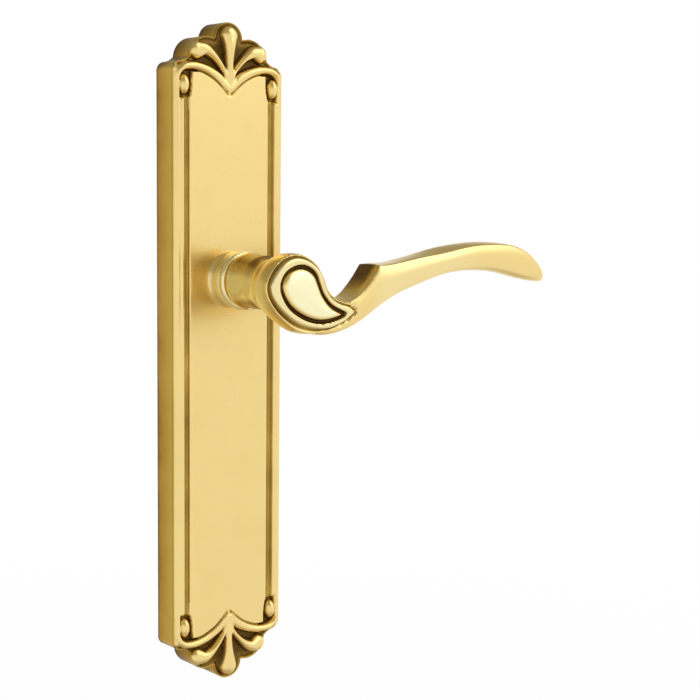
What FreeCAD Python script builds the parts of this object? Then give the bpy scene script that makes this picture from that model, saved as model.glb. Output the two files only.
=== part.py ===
import FreeCAD, Part
import math
import os

# Sizes in millimetres. The origin lies on the spindle axis, in the plane of the door face.
# +X follows the lever arm, +Z is up, and the front of the plate faces -Y.
os.makedirs("parts", exist_ok=True)
Vec = FreeCAD.Vector

# Long plate: the ground is the floor of the ornament, and the other levels are steps above it
PLATE_HEIGHT = 256.4
PLATE_WIDTH = 50.8
PLATE_DROP = 30.5
GROUND_DEPTH = 10.2
FACE_WALL = 1.5
GROOVE_STEP = 0.6
WALL_STEP = 1.1
SLOPE_STEP = 1.9
PANEL_STEP = 1.7
REED_STEP = 2.4
RIB_STEP = 2.7
SLOPE_WIDTH = 2.2
RIM_WALL = 3.0
REED_RADIUS = 1.05
REED_INSET = 3.55
REED_END = 29.1
PANEL_INSET = 7.1
BEAD_INSET = 4.7
BEAD_WIDTH = 4.5
BEAD_LENGTH = 8.4

# Neck collar and bearing
COLLAR_BASE_R = 11.0
COLLAR_BEAD_R = 11.3
COLLAR_LENGTH = 11.2
COLLAR_SLEEVE_R = 9.6
BUSH_OUTER_R = 8.2
BUSH_FLANGE_R = 9.4
BUSH_FLANGE = 1.0
JOURNAL_R = 7.0
RUNNING_FIT = 0.05
FACE_GAP = 0.3
PRESS_FIT = 0.0

# Lever
NECK_START_R = 10.9
NECK_WASHER = 0.6
NECK_WAIST_R = 10.1
HUB_FRONT = 53.8
BOSS_STEP = 1.2
DROP_STEP = 2.6
GROOVE_HALF = 0.85
UNDERSIDE = 0.8
ARM_FRONT = 54.0
ARM_DEPTH = 12.2

# Spindle and grub screw
SPINDLE_SIDE = 8.0
SPINDLE_IN = 42.0
SPINDLE_OUT = 31.0
SPINDLE_PLAY = 0.05
GRUB_R = 2.5
GRUB_Y = 28.5

# Spring cassette: rings and pins are placed from its radius
HOUSING_R = 19.6
HOUSING_WALL = 1.2
HOUSING_FLOOR = 0.8
COVER_THICKNESS = 0.8
COVER_BACK = 0.5
COVER_BORE_R = 10.2
EAR_FRONT = 4.0
EAR_THICKNESS = 1.2
EAR_R = 3.4
CAM_HUB_R = 9.2
CAM_TAB_HALF = 9.0
CAM_SIDE_GAP = 0.3
TAB_FRONT = 3.5
TAB_BACK = 2.1
CAM_FLAT = 6.2
CAM_FRONT = 7.5
SPRING_WIRE = 1.2
SPRING_PITCH = 1.65
SPRING_TURN = 450.0
SPRING_FOOT = 0.6
SPRING_BEND = 1.5
STOP_PIN_R = 1.5
PIN_TO_WALL = 1.3
RIVET_R = 1.0
LEVER_TRAVEL = 45.0
WASHER_THICKNESS = 0.7
DISH_HEIGHT = 0.7
CLIP_THICKNESS = 1.0
CLIP_DEPTH = 0.7
JOURNAL_END = 1.6

# Fixings
POST_SPACING = 190.0
POST_R = 4.5
POST_LENGTH = 9.0
POST_THREAD_R = 2.5
POST_BOSS_R = 7.0
CASSETTE_SCREW_R = 1.45
CASSETTE_SCREW_HEAD_R = 2.7
LOCK_WASHER = 0.5

HALF_H = PLATE_HEIGHT / 2
HALF_W = PLATE_WIDTH / 2
MID = -PLATE_DROP
FACE_BACK = GROUND_DEPTH - FACE_WALL
GROOVE_DEPTH = GROUND_DEPTH + GROOVE_STEP
WALL_DEPTH = GROUND_DEPTH + WALL_STEP
SLOPE_TOP = GROUND_DEPTH + SLOPE_STEP
PANEL_DEPTH = GROUND_DEPTH + PANEL_STEP
REED_TOP = GROUND_DEPTH + REED_STEP
RIB_TOP = GROUND_DEPTH + RIB_STEP
COLLAR_FRONT = PANEL_DEPTH + COLLAR_LENGTH
NECK_START = COLLAR_FRONT + FACE_GAP + NECK_WASHER
STOP_PIN_RING = HOUSING_R - HOUSING_WALL - PIN_TO_WALL - STOP_PIN_R
CAM_TAB_R = HOUSING_R - HOUSING_WALL - 2 * CAM_SIDE_GAP
SPRING_MEAN_R = (CAM_HUB_R + STOP_PIN_RING - STOP_PIN_R) / 2 + 0.5
CASSETTE_SCREW_RING = HOUSING_R + EAR_R + 2.5


def at(x, y, z):
    return Vec(x, y, z)


def front(x, z, depth):
    # A point given by its distance in front of the door face.
    return Vec(x, -depth, z)


def export(shape, name):
    shape = shape.removeSplitter() if len(shape.Solids) == 1 else shape
    shape.exportStep("parts/" + name + ".step")
    print(name, len(shape.Solids), "solids", round(shape.Volume, 1), "mm3", "valid", shape.isValid())


def arc(a, b, c):
    return Part.Arc(a, b, c).toShape()


def line(a, b):
    return Part.makeLine(a, b)


def disc(radius, y_start, y_end, x=0.0, z=0.0):
    # A cylinder along Y between two depths in front of the door face.
    return Part.makeCylinder(radius, y_start - y_end, at(x, -y_start, z), at(0, 1, 0))


def ring(outer, inner, y_start, y_end, x=0.0, z=0.0):
    return disc(outer, y_start, y_end, x, z).cut(disc(inner, y_start + 1, y_end - 1, x, z))


def prism(wire, depth_from, depth_to):
    face = Part.Face(wire)
    return face.extrude(at(0, depth_from - depth_to, 0))


def turned(profile):
    # A ring turned round the Y axis from points (radius, depth).
    points = [at(r, -d, 0) for r, d in profile]
    face = Part.Face(Part.makePolygon(points + [points[0]]))
    return face.revolve(at(0, 0, 0), at(0, 1, 0), 360)


def spline(points, closed=False):
    curve = Part.BSplineCurve()
    curve.interpolate(points, PeriodicFlag=closed)
    return curve.toShape()


def plate_outline(depth):
    # Straight sides, a rounded shoulder, a cove, a side lobe and a crown at each end.
    edges = []
    for end in (1, -1):
        def p(x, drop):
            return front(x, MID + end * (HALF_H - drop), depth)
        for side in (1, -1):
            edges.append(arc(p(side * HALF_W, 19.8), p(side * (HALF_W - 0.7), 17.1),
                             p(side * (HALF_W - 2.8), 15.7)))
            edges.append(arc(p(side * (HALF_W - 2.8), 15.7), p(side * (HALF_W - 5.5), 14.9),
                             p(side * (HALF_W - 7.3), 13.6)))
            edges.append(arc(p(side * (HALF_W - 7.3), 13.6), p(side * 15.6, 8.3), p(side * 9.2, 5.8)))
            edges.append(line(p(side * 9.2, 5.8), p(side * 6.5, 6.2)))
        edges.append(arc(p(6.5, 6.2), p(0, 0), p(-6.5, 6.2)))
    reach = HALF_H - 19.8
    for side in (1, -1):
        x = side * HALF_W
        edges.append(line(front(x, MID - reach, depth), front(x, MID + reach, depth)))
    return Part.Wire(Part.__sortEdges__(edges))


def panel_outline(depth):
    # The flat panel: it draws in round each bead and ends in two arches that meet in the middle.
    side_x = HALF_W - PANEL_INSET
    edges = []
    for end in (1, -1):
        def p(x, drop):
            return front(x, MID + end * (HALF_H - drop), depth)
        for side in (1, -1):
            neck = [(side_x, 30.4), (side_x - 0.4, 28.2), (side_x - 0.8, 25.6), (side_x - 1.0, 22.6),
                    (side_x - 1.1, 19.4)]
            arch = [(side_x - 1.1, 19.4), (13.5, 19.6), (10.0, 20.8), (6.4, 22.7), (3.7, 24.9),
                    (1.7, 27.2), (0.0, 29.0)]
            edges.append(spline([p(side * x, d) for x, d in neck]))
            edges.append(spline([p(side * x, d) for x, d in arch]))
    reach = HALF_H - 30.4
    for side in (1, -1):
        x = side * side_x
        edges.append(line(front(x, MID - reach, depth), front(x, MID + reach, depth)))
    return Part.Wire(Part.__sortEdges__(edges))


def rib(stations):
    # A rounded rib through stations (x, z, width, top depth), seated in the ground of the plate.
    wires = []
    base = GROUND_DEPTH - 0.8
    last = len(stations) - 1
    for i, (x, z, width, top) in enumerate(stations):
        x0, z0 = stations[max(i - 1, 0)][:2]
        x1, z1 = stations[min(i + 1, last)][:2]
        length = math.hypot(x1 - x0, z1 - z0)
        nx = -(z1 - z0) / length
        nz = (x1 - x0) / length
        half = width / 2
        shoulder = top - min(half, 1.3)

        def q(across, depth):
            return front(x + nx * across, z + nz * across, depth)
        edges = [line(q(-half, base), q(half, base)), line(q(half, base), q(half, shoulder)),
                 arc(q(half, shoulder), q(0, top), q(-half, shoulder)),
                 line(q(-half, shoulder), q(-half, base))]
        wires.append(Part.Wire(edges))
    return Part.makeLoft(wires, True, False)


def palmette(end):
    # Five ribs grow from a pointed stem, and the outer two curl over a bead at each side.
    solids = []

    def p(x, drop, width, top):
        return (x, MID + end * (HALF_H - drop), width, top)
    crown = [p(0, 21.0, 2.0, RIB_TOP - 0.6), p(0, 17.0, 2.8, RIB_TOP - 0.5), p(0, 12.4, 4.5, RIB_TOP - 0.2),
             p(0, 8.2, 6.2, RIB_TOP), p(0, 5.0, 7.1, RIB_TOP - 0.1), p(0, 3.0, 6.0, RIB_TOP - 0.5),
             p(0, 2.0, 3.8, RIB_TOP - 1.1)]
    solids.append(rib(crown))
    curl_x = HALF_W - 1.5
    for side in (1, -1):
        lobe = [p(side * 1.6, 20.0, 2.0, RIB_TOP - 0.6), p(side * 3.2, 17.4, 2.2, RIB_TOP - 0.5),
                p(side * 6.0, 14.3, 2.6, RIB_TOP - 0.4), p(side * 8.6, 12.2, 3.5, RIB_TOP - 0.2),
                p(side * 11.3, 10.9, 4.4, RIB_TOP), p(side * 13.8, 11.0, 4.9, RIB_TOP - 0.2),
                p(side * 16.0, 12.2, 4.0, RIB_TOP - 0.9)]
        solids.append(rib(lobe))
        curl = [p(side * 1.0, 25.0, 3.0, RIB_TOP - 0.6), p(side * 4.4, 21.6, 4.2, RIB_TOP - 0.5),
                p(side * 8.4, 19.2, 3.7, RIB_TOP - 0.3), p(side * 12.2, 17.8, 3.4, RIB_TOP - 0.2),
                p(side * 16.0, 17.2, 3.0, RIB_TOP - 0.1), p(side * (curl_x - 4.2), 17.4, 2.8, RIB_TOP - 0.1),
                p(side * (curl_x - 1.8), 18.6, 2.6, RIB_TOP - 0.2),
                p(side * (curl_x - 0.5), 20.6, 2.2, RIB_TOP - 0.5),
                p(side * curl_x, 23.0, 1.5, RIB_TOP - 1.1)]
        solids.append(rib(curl))
        bead = Part.makeSphere(1.0)
        scale = FreeCAD.Matrix()
        scale.A11 = BEAD_WIDTH / 2
        scale.A22 = RIB_STEP - 0.2
        scale.A33 = BEAD_LENGTH / 2
        bead = bead.transformGeometry(scale)
        bead.translate(front(side * (HALF_W - BEAD_INSET), MID + end * (HALF_H - 24.1), GROUND_DEPTH))
        solids.append(bead)
    stem_points = [(0.0, 28.4), (1.4, 26.6), (3.3, 24.6), (4.6, 22.2), (3.4, 18.8), (0.0, 16.8)]
    right = spline([front(x, MID + end * (HALF_H - d), GROUND_DEPTH) for x, d in stem_points])
    left = spline([front(-x, MID + end * (HALF_H - d), GROUND_DEPTH) for x, d in stem_points])
    stem = Part.Face(Part.Wire(Part.__sortEdges__([right, left])))
    solids.append(stem.extrude(at(0, GROUND_DEPTH - RIB_TOP + 0.6, 0)))
    return solids


def side_mouldings():
    # Outside slope, half-round reed and groove along each long side.
    solids = []
    reed_reach = HALF_H - REED_END
    slope_reach = HALF_H - 17.1
    for side in (1, -1):
        outer = side * HALF_W
        inner = side * (HALF_W - SLOPE_WIDTH)
        profile = [(outer, GROUND_DEPTH - 1), (outer, WALL_DEPTH), (inner, SLOPE_TOP),
                   (inner, GROUND_DEPTH - 1)]
        points = [at(x, -d, MID - slope_reach) for x, d in profile]
        face = Part.Face(Part.makePolygon(points + [points[0]]))
        solids.append(face.extrude(at(0, 0, 2 * slope_reach)))
        centre = side * (HALF_W - REED_INSET)
        a = at(centre - REED_RADIUS, -GROUND_DEPTH + 1, MID - reed_reach)
        b = at(centre - REED_RADIUS, -REED_TOP + REED_RADIUS, MID - reed_reach)
        c = at(centre, -REED_TOP, MID - reed_reach)
        d = at(centre + REED_RADIUS, -REED_TOP + REED_RADIUS, MID - reed_reach)
        e = at(centre + REED_RADIUS, -GROUND_DEPTH + 1, MID - reed_reach)
        face = Part.Face(Part.Wire([line(a, b), arc(b, c, d), line(d, e), line(e, a)]))
        solids.append(face.extrude(at(0, 0, 2 * reed_reach)))
    return solids


def post_centres():
    return [MID + POST_SPACING / 2, MID - POST_SPACING / 2]


def screw_angles():
    return [60.0, 120.0, 240.0, 300.0]


def escutcheon_plate():
    slab = prism(plate_outline(0), 0, GROUND_DEPTH)
    panel = prism(panel_outline(GROUND_DEPTH - 1), GROUND_DEPTH - 1, PANEL_DEPTH)
    panel = panel.makeChamfer(0.35, [e for e in panel.Edges if e.BoundBox.YMax < 0.01 - PANEL_DEPTH])
    body = [slab, panel]
    block = prism(plate_outline(0), 0, RIB_TOP + 2)
    trims = side_mouldings() + palmette(1) + palmette(-1)
    floor_width = HALF_W - SLOPE_WIDTH - 0.3
    floor_reach = HALF_H - REED_END
    floor = Part.makeBox(2 * floor_width, 1.6, 2 * floor_reach,
                         at(-floor_width, -GROOVE_DEPTH, MID - floor_reach))
    trims.append(floor)
    relief = slab.fuse(body[1:] + [trim.common(block) for trim in trims])
    inner_w = HALF_W - RIM_WALL
    inner_h = HALF_H - 20.4
    hollow = Part.makeBox(2 * inner_w, FACE_BACK + 1, 2 * inner_h, at(-inner_w, -FACE_BACK, MID - inner_h))
    corners = [e for e in hollow.Edges if abs(e.Vertexes[0].X - e.Vertexes[-1].X) < 0.01
               and abs(e.Vertexes[0].Z - e.Vertexes[-1].Z) < 0.01]
    hollow = hollow.makeFillet(4.0, corners)
    relief = relief.cut(hollow)
    for z in post_centres():
        relief = relief.fuse(disc(POST_BOSS_R, FACE_BACK + 0.5, 1.0, 0, z))
        relief = relief.cut(disc(POST_R - 1.0, FACE_BACK, 0.0, 0, z))
    for angle in screw_angles():
        x = CASSETTE_SCREW_RING * math.cos(math.radians(angle))
        z = CASSETTE_SCREW_RING * math.sin(math.radians(angle))
        relief = relief.fuse(disc(EAR_R - 0.2, FACE_BACK + 0.5, EAR_FRONT, x, z))
        relief = relief.cut(disc(CASSETTE_SCREW_R + RUNNING_FIT, FACE_BACK - 0.5, 3.0, x, z))
    relief = relief.cut(disc(COLLAR_SLEEVE_R + PRESS_FIT, PANEL_DEPTH + 2, FACE_BACK - 1))
    foot = spring_ends()[1]
    foot_depth = FACE_BACK + SPRING_FOOT + 0.1
    return relief.cut(disc(SPRING_WIRE / 2 + 0.1, foot_depth, FACE_BACK - 0.1, foot[0], foot[1]))


def neck_collar():
    f = PANEL_DEPTH
    g = COLLAR_FRONT
    base = COLLAR_BASE_R
    bead = COLLAR_BEAD_R
    bore = BUSH_OUTER_R
    sleeve = [(bore, FACE_BACK), (COLLAR_SLEEVE_R, FACE_BACK), (COLLAR_SLEEVE_R, f), (base, f)]
    stem = [(base, f + 1.0), (base - 0.9, f + 2.2), (base - 1.3, f + 3.6), (base - 1.0, f + 4.8)]
    small_bead = [(base - 0.4, f + 5.3), (base - 0.3, f + 5.9), (base - 0.5, f + 6.5), (base - 1.1, f + 7.1)]
    cove = [(base - 1.2, f + 8.0), (base - 0.8, g - 2.6)]
    big_bead = [(bead - 0.3, g - 2.2), (bead, g - 1.5), (bead - 0.3, g - 0.8), (bead - 1.0, g - 0.4),
                (bead - 1.4, g)]
    seat = [(BUSH_FLANGE_R, g), (BUSH_FLANGE_R, g - BUSH_FLANGE), (bore, g - BUSH_FLANGE)]
    return turned(sleeve + stem + small_bead + cove + big_bead + seat)


def bearing_bush():
    front_face = COLLAR_FRONT
    inner = JOURNAL_R + RUNNING_FIT
    return turned([(inner, FACE_BACK), (BUSH_OUTER_R, FACE_BACK), (BUSH_OUTER_R, front_face - BUSH_FLANGE),
                   (BUSH_FLANGE_R, front_face - BUSH_FLANGE), (BUSH_FLANGE_R, front_face),
                   (inner, front_face)])


def rim_points():
    # Outer edge of the drop-shaped boss, from the tip of its tail round the head.
    return [(28.2, -10.6), (24.7, -8.3), (20.9, -7.1), (17.8, -5.6), (14.8, -2.9), (13.0, 1.0), (11.3, 4.3),
            (8.3, 7.6), (4.1, 9.9), (-0.6, 10.7), (-5.1, 9.7), (-9.1, 6.9), (-12.0, 3.0), (-12.9, -0.8),
            (-10.8, -5.8), (-4.9, -11.4), (2.8, -15.4), (12.7, -16.9), (20.7, -15.2)]


def groove_points():
    # Middle of the dark groove inside the boss.
    return [(24.2, -11.0), (20.4, -9.7), (15.6, -7.2), (12.2, -3.4), (10.4, 0.4), (8.6, 4.1), (5.5, 6.6),
            (1.1, 7.7), (-3.9, 6.5), (-7.3, 3.6), (-8.5, -0.7), (-6.5, -5.6), (-2.9, -9.4), (2.8, -12.6),
            (8.7, -14.2), (14.6, -14.2), (20.4, -12.9)]


def shifted(points, amount):
    # The outline moved outward by an amount, and its tail tip kept sharp.
    moved = []
    count = len(points)
    for i, (x, z) in enumerate(points):
        if i == 0:
            moved.append((x + 1.6 * amount, z - 0.3 * amount))
            continue
        x0, z0 = points[i - 1]
        x1, z1 = points[(i + 1) % count]
        length = math.hypot(x1 - x0, z1 - z0)
        moved.append((x + amount * (z1 - z0) / length, z - amount * (x1 - x0) / length))
    return moved


def drop_wire(points, depth, scale=1.0):
    cx, cz = 2.5, -3.5
    placed = [front(cx + (x - cx) * scale, cz + (z - cz) * scale, depth) for x, z in points]
    return Part.Wire([spline(placed + [placed[0]])])


def neck_washer():
    start = NECK_START
    return ring(BUSH_FLANGE_R, JOURNAL_R + 0.1, start, start - NECK_WASHER)


def neck():
    start = NECK_START
    base = NECK_START_R
    waist = NECK_WAIST_R
    end = JOURNAL_END
    profile = [(0, -end), (JOURNAL_R - 0.4, -end), (JOURNAL_R, -end + 0.4), (JOURNAL_R, start),
               (base - 0.5, start), (base, start + 0.5), (base - 0.1, start + 2.0),
               (waist + 0.25, start + 4.5), (waist, start + 7.5), (waist + 0.1, start + 11), (0, start + 11)]
    return turned(profile)


def hub():
    # The neck swells into the drop-shaped head, which hangs below the axis.
    head = rim_points()
    count = len(head)
    wires = []
    for depth, share, grow in ((33.5, 0.0, 0.0), (36.0, 0.08, 0.3), (39.0, 0.30, 0.8), (43.0, 0.62, 1.4),
                               (47.0, 0.88, 1.6), (51.0, 0.98, 1.3), (HUB_FRONT, 1.0, 0.5)):
        outline = shifted(head, grow)
        points = []
        for i, (x, z) in enumerate(outline):
            angle = math.radians(-20.0 + 360.0 * i / count)
            rx = NECK_WAIST_R * math.cos(angle)
            rz = NECK_WAIST_R * math.sin(angle)
            bx = min(x, 24.0)
            bz = z - UNDERSIDE * max(0.0, -z / NECK_WAIST_R) if x < 12.0 else z
            points.append(front(rx + (bx - rx) * share, rz + (bz - rz) * share, depth))
        wires.append(Part.Wire([spline(points, True)]))
    return Part.makeLoft(wires, True, False)


def arm_section(x, back, top_back, front_depth, top_front, low_front, low_back, bulge):
    # Crisp creases part a flat top bevel, a full front, a round underside and a round back.
    a = at(x, -back, top_back)
    b = at(x, -front_depth, top_front)
    c = at(x, -front_depth + 0.6, low_front)
    d = at(x, -back - 0.4, low_back)
    ab = at(x, (a.y + b.y) / 2, (a.z + b.z) / 2 + 0.35)
    bc = at(x, b.y - bulge, (b.z + c.z) / 2)
    cd = at(x, (c.y + d.y) / 2, (c.z + d.z) / 2 - 0.9)
    da = at(x, d.y + 1.6 * bulge, (a.z + d.z) / 2)
    return Part.Wire([arc(a, ab, b), arc(b, bc, c), arc(c, cd, d), arc(d, da, a)])


def arm():
    f = ARM_FRONT
    b = ARM_FRONT - ARM_DEPTH
    shoulder = (40.0, b, 6.3, f, 6.3, -9.6, -9.2, 1.0)
    root = [(10.0, b + 0.7, -4.5, f - 0.6, -5.0, -18.4, -17.0, 0.5),
            (20.0, b + 0.2, -7.4, f - 0.3, -7.6, -18.2, -17.4, 0.6),
            (26.0, b, -6.7, f - 0.1, -6.6, -16.6, -15.8, 0.7),
            (30.0, b, -4.6, f, -4.4, -15.0, -14.2, 0.8),
            (34.0, b, -1.1, f, -0.9, -13.0, -12.2, 0.9),
            (37.5, b, 2.9, f, 3.0, -11.0, -10.4, 1.0), shoulder]
    blade = [shoulder, (45.0, b + 0.8, 6.9, f, 6.3, -7.0, -6.6, 1.0),
             (50.0, b + 1.7, 7.8, f, 6.7, -4.9, -4.6, 1.0),
             (60.0, b + 3.0, 9.7, f, 8.2, -1.7, -1.4, 1.0),
             (70.0, b + 4.0, 11.5, f - 0.1, 9.6, 1.0, 1.3, 0.9),
             (80.0, b + 4.5, 12.9, f - 0.2, 11.1, 2.9, 3.2, 0.9),
             (90.0, b + 4.7, 13.9, f - 0.4, 12.5, 3.6, 3.6, 0.8),
             (100.0, b + 4.9, 14.2, f - 0.6, 13.1, 3.4, 3.0, 0.8),
             (110.0, b + 5.0, 13.5, f - 0.8, 12.9, 2.2, 1.4, 0.8),
             (118.0, b + 5.1, 12.0, f - 1.0, 11.7, 0.7, -0.5, 0.7),
             (124.0, b + 5.2, 9.7, f - 1.2, 9.5, -0.4, -1.7, 0.6),
             (129.0, b + 5.3, 6.7, f - 1.6, 6.5, -1.2, -2.5, 0.5),
             (132.6, b + 5.5, 3.7, f - 2.0, 3.6, -1.6, -2.8, 0.4),
             (135.2, b + 5.9, 0.8, f - 2.7, 0.8, -1.9, -2.8, 0.3),
             (136.4, b + 6.8, -1.2, f - 3.6, -1.2, -2.1, -2.5, 0.1)]
    left = Part.makeLoft([arm_section(*row) for row in root], True, False)
    right = Part.makeLoft([arm_section(*row) for row in blade], True, False)
    return left, right


def lever_handle():
    left, right = arm()
    body = neck().fuse([hub(), left, right])
    boss = prism(drop_wire(rim_points(), HUB_FRONT - 3), HUB_FRONT - 3, HUB_FRONT + BOSS_STEP)
    floor = HUB_FRONT - 0.4
    trench = prism(drop_wire(shifted(groove_points(), GROOVE_HALF), floor), floor, HUB_FRONT + BOSS_STEP + 3)
    drop_edge = shifted(groove_points(), -GROOVE_HALF)
    layers = ((HUB_FRONT - 2, 1.0), (HUB_FRONT + 0.4, 0.99), (HUB_FRONT + 1.5, 0.93),
              (HUB_FRONT + DROP_STEP - 0.5, 0.78), (HUB_FRONT + DROP_STEP, 0.5))
    drop = Part.makeLoft([drop_wire(drop_edge, depth, scale) for depth, scale in layers], True, False)
    body = body.fuse(boss).cut(trench).fuse(drop)
    side = SPINDLE_SIDE + 2 * SPINDLE_PLAY
    length = SPINDLE_IN + 0.5 + JOURNAL_END + 1
    bore = Part.makeBox(side, length, side, at(-side / 2, -SPINDLE_IN - 0.5, -side / 2))
    body = body.cut(bore)
    hole = Part.makeCylinder(GRUB_R + RUNNING_FIT, 14, at(0, -GRUB_Y, 0), at(0, 0, -1))
    body = body.cut(hole)
    for side_x in (1, -1):
        flat_x = min(side_x * CAM_FLAT, side_x * (CAM_FLAT + 4))
        length = CAM_FRONT + FACE_GAP + JOURNAL_END + 1
        flat = Part.makeBox(4, length, 20, at(flat_x, -CAM_FRONT - FACE_GAP, -10))
        body = body.cut(flat)
    clip_front = clip_depth()
    clip_back = clip_front - CLIP_THICKNESS - 0.1
    return body.cut(ring(JOURNAL_R + 2, JOURNAL_R - CLIP_DEPTH, clip_front, clip_back))


def clip_depth():
    return TAB_BACK - DISH_HEIGHT - WASHER_THICKNESS


def spindle():
    side = SPINDLE_SIDE
    bar = Part.makeBox(side, SPINDLE_IN + SPINDLE_OUT, side, at(-side / 2, -SPINDLE_IN, -side / 2))
    return bar.makeChamfer(0.6, [e for e in bar.Edges if abs(e.Vertexes[0].Y - e.Vertexes[1].Y) < 0.01])


def grub_screw():
    reach = 5.8
    top = -SPINDLE_SIDE / 2
    screw = Part.makeCylinder(GRUB_R, reach, at(0, -GRUB_Y, top - 0.02), at(0, 0, -1))
    points = []
    for i in range(7):
        a = math.radians(60 * i)
        points.append(at(1.4 * math.cos(a), -GRUB_Y + 1.4 * math.sin(a), top - reach - 1))
    socket = Part.Face(Part.makePolygon(points)).extrude(at(0, 0, 3.2))
    return screw.cut(socket)


def spring_housing():
    floor_top = FACE_BACK - HOUSING_FLOOR
    cup = disc(HOUSING_R, FACE_BACK, COVER_BACK + COVER_THICKNESS)
    cup = cup.cut(disc(HOUSING_R - HOUSING_WALL, floor_top, -1))
    for angle in screw_angles():
        x = CASSETTE_SCREW_RING * math.cos(math.radians(angle))
        z = CASSETTE_SCREW_RING * math.sin(math.radians(angle))
        ear = disc(EAR_R, EAR_FRONT, EAR_FRONT - EAR_THICKNESS, x, z)
        near = (HOUSING_R - 0.6) / CASSETTE_SCREW_RING
        link = Part.makeBox(CASSETTE_SCREW_RING * (1 - near) + 0.5, EAR_THICKNESS, 5.0,
                            at(CASSETTE_SCREW_RING * near, -EAR_FRONT, -2.5))
        link.rotate(at(0, 0, 0), at(0, 1, 0), -angle)
        cup = cup.fuse([ear, link]).cut(disc(CASSETTE_SCREW_R + 0.15, EAR_FRONT + 1, EAR_FRONT - 3, x, z))
    cup = cup.cut(disc(CAM_HUB_R + 0.4, FACE_BACK + 1, floor_top - 1))
    hole = spring_ends()[1]
    cup = cup.cut(disc(SPRING_WIRE / 2 + 0.1, FACE_BACK + 1, floor_top - 1, hole[0], hole[1]))
    return cup


def tab_angle():
    # Direction of the cam tab at rest, turned from straight up.
    return -LEVER_TRAVEL / 2


def on_ring(radius, angle):
    # A place on a ring, by its angle from straight up towards +X.
    a = math.radians(angle)
    return radius * math.sin(a), radius * math.cos(a)


def spring_angles():
    wire_angle = math.degrees((SPRING_WIRE / 2 + 0.3) / SPRING_MEAN_R)
    moving = tab_angle() + CAM_TAB_HALF + wire_angle
    bend_angle = math.degrees(math.atan(SPRING_BEND / SPRING_MEAN_R))
    return moving, moving - SPRING_TURN - 2 * bend_angle


def spring_ends():
    moving, fixed = spring_angles()
    reach = SPRING_MEAN_R / math.cos(math.radians(moving - spring_start()))
    return on_ring(reach, moving), on_ring(reach, fixed)


def spring_start():
    # The coil begins one bend's length behind its moving end.
    return spring_angles()[0] - math.degrees(math.atan(SPRING_BEND / SPRING_MEAN_R))


def bent_arc(start, tangent, end):
    # The arc that leaves start along tangent and reaches end.
    chord = end - start
    along = chord / chord.Length
    aside = tangent - along * tangent.dot(along)
    lean = math.atan2(aside.Length, tangent.dot(along))
    middle = (start + end) * 0.5 + aside * (chord.Length / 2 * math.tan(lean / 2) / aside.Length)
    return arc(start, middle, end)


def biarc(p0, t0, p1, t1):
    # Two arcs that share their tangent where they meet.
    v = p1 - p0
    t = t0 + t1
    k = 2 * (1 - t0.dot(t1))
    d = (math.sqrt(v.dot(t) ** 2 + k * v.dot(v)) - v.dot(t)) / k
    joint = (p0 + t0 * d + p1 - t1 * d) * 0.5
    first = bent_arc(p0, t0, joint)
    turn_back = bent_arc(p1, t1 * -1, joint)
    middle = turn_back.valueAt((turn_back.FirstParameter + turn_back.LastParameter) / 2)
    return [first, arc(joint, middle, p1)]


def return_spring():
    # One and a quarter turns of wire, with both ends bent square along the axis: one unbroken tube.
    first = TAB_FRONT + 0.35 + SPRING_WIRE / 2
    start = spring_start()
    quarters = 5
    step = -SPRING_TURN / quarters
    rise = SPRING_PITCH * SPRING_TURN / 360.0
    slope = SPRING_PITCH / (2 * math.pi * SPRING_MEAN_R)
    places = []
    tangents = []
    for i in range(quarters + 1):
        angle = start + step * i
        x, z = on_ring(SPRING_MEAN_R, angle)
        places.append(front(x, z, first + rise * i / quarters))
        a = math.radians(angle)
        tangent = at(-math.cos(a), -slope, math.sin(a))
        tangents.append(tangent / tangent.Length)
    edges = []
    for i in range(quarters):
        edges += biarc(places[i], tangents[i], places[i + 1], tangents[i + 1])
    bend = SPRING_BEND
    inward = at(0, -1, 0)
    corner = places[0] - tangents[0] * bend
    top = corner - inward * bend
    edges.insert(0, arc(top, top + (corner - top + places[0] - corner) * 0.5
                        + ((corner - top) - (places[0] - corner)) * (math.sqrt(2) - 1) / 2, places[0]))
    edges.insert(0, line(at(top.x, -COVER_BACK - COVER_THICKNESS - 0.4, top.z), top))
    corner = places[-1] + tangents[-1] * bend
    foot = corner + inward * bend
    edges.append(arc(places[-1], places[-1] + (foot - places[-1]) * 0.5
                     + ((corner - places[-1]) - (foot - corner)) * (math.sqrt(2) - 1) / 2, foot))
    edges.append(line(foot, at(foot.x, -FACE_BACK - SPRING_FOOT, foot.z)))
    path = Part.Wire(edges)
    profile = Part.Wire([Part.makeCircle(SPRING_WIRE / 2, edges[0].Vertexes[0].Point, inward)])
    return path.makePipeShell([profile], True, False)


def drive_cam():
    # A hub keyed to the lever by two flats, with one tab that carries the spring and meets the stops.
    hub_front = CAM_FRONT
    cam = disc(CAM_HUB_R, hub_front, TAB_BACK)
    half = CAM_TAB_HALF
    a = on_ring(CAM_HUB_R - 1, -half)
    b = on_ring(CAM_TAB_R, -half)
    c = on_ring(CAM_TAB_R, 0)
    d = on_ring(CAM_TAB_R, half)
    e = on_ring(CAM_HUB_R - 1, half)
    p = [front(x, z, TAB_FRONT) for x, z in (a, b, c, d, e)]
    edges = [line(p[0], p[1]), arc(p[1], p[2], p[3]), line(p[3], p[4]), line(p[4], p[0])]
    face = Part.Face(Part.Wire(edges))
    tab = face.extrude(at(0, TAB_FRONT - TAB_BACK, 0))
    tab.rotate(at(0, 0, 0), at(0, 1, 0), tab_angle())
    cam = cam.fuse(tab)
    fit = RUNNING_FIT
    bore = disc(JOURNAL_R + fit, hub_front + 1, TAB_BACK - 1)
    width = CAM_FLAT + fit
    bore = bore.common(Part.makeBox(2 * width, 30, 40, at(-width, -20, -20)))
    return cam.cut(bore)


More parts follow.
